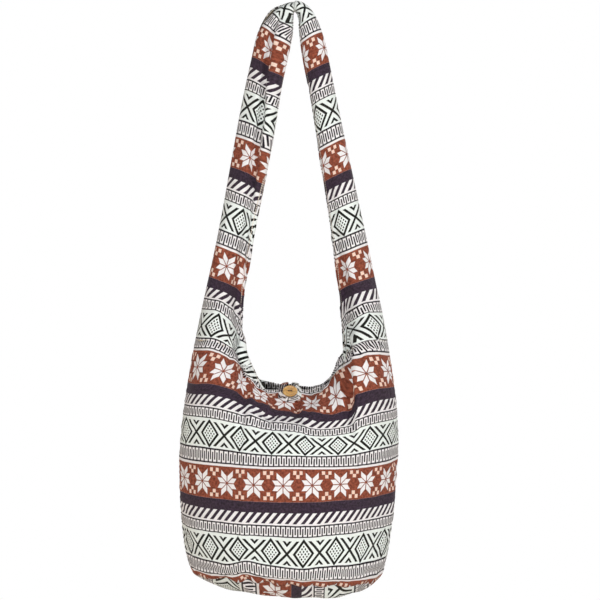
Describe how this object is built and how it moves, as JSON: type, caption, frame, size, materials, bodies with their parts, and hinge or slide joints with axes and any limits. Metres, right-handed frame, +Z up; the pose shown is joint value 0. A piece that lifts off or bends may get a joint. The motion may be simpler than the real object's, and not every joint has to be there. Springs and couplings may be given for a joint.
{
  "type": "shoulder bag",
  "caption": "Soft printed cotton sling bag: a deep rounded body on an oval base, long shoulder strap cut in one with it, button and loop at the mouth.",
  "frame": {"origin": "underside of the strap's crown, where a hook or a shoulder carries the hanging bag", "axes": "+Z up along the hanging bag, -Y out of the front with the button, +X to the right seen from the front"},
  "size_m": [0.3282, 0.2012, 0.8842],
  "materials": {
    "printed_canvas": "matte woven cotton printed in bands of rust brown, purple black and white",
    "base_canvas": "the same printed cotton, turned a quarter",
    "lining_cotton": "plain unbleached cotton",
    "loop_canvas": "folded strip of the printed cotton",
    "shell": "polished coconut shell, half gloss",
    "thread": "dark sewing thread"
  },
  "bodies": {
    "root": {"front_panel": "printed_canvas", "back_panel": "printed_canvas", "base_panel": "base_canvas", "front_lining": "lining_cotton", "back_lining": "lining_cotton", "base_lining": "lining_cotton", "button_loop": "loop_canvas", "button": "shell", "button_thread": "thread"}
  },
  "joints": []
}
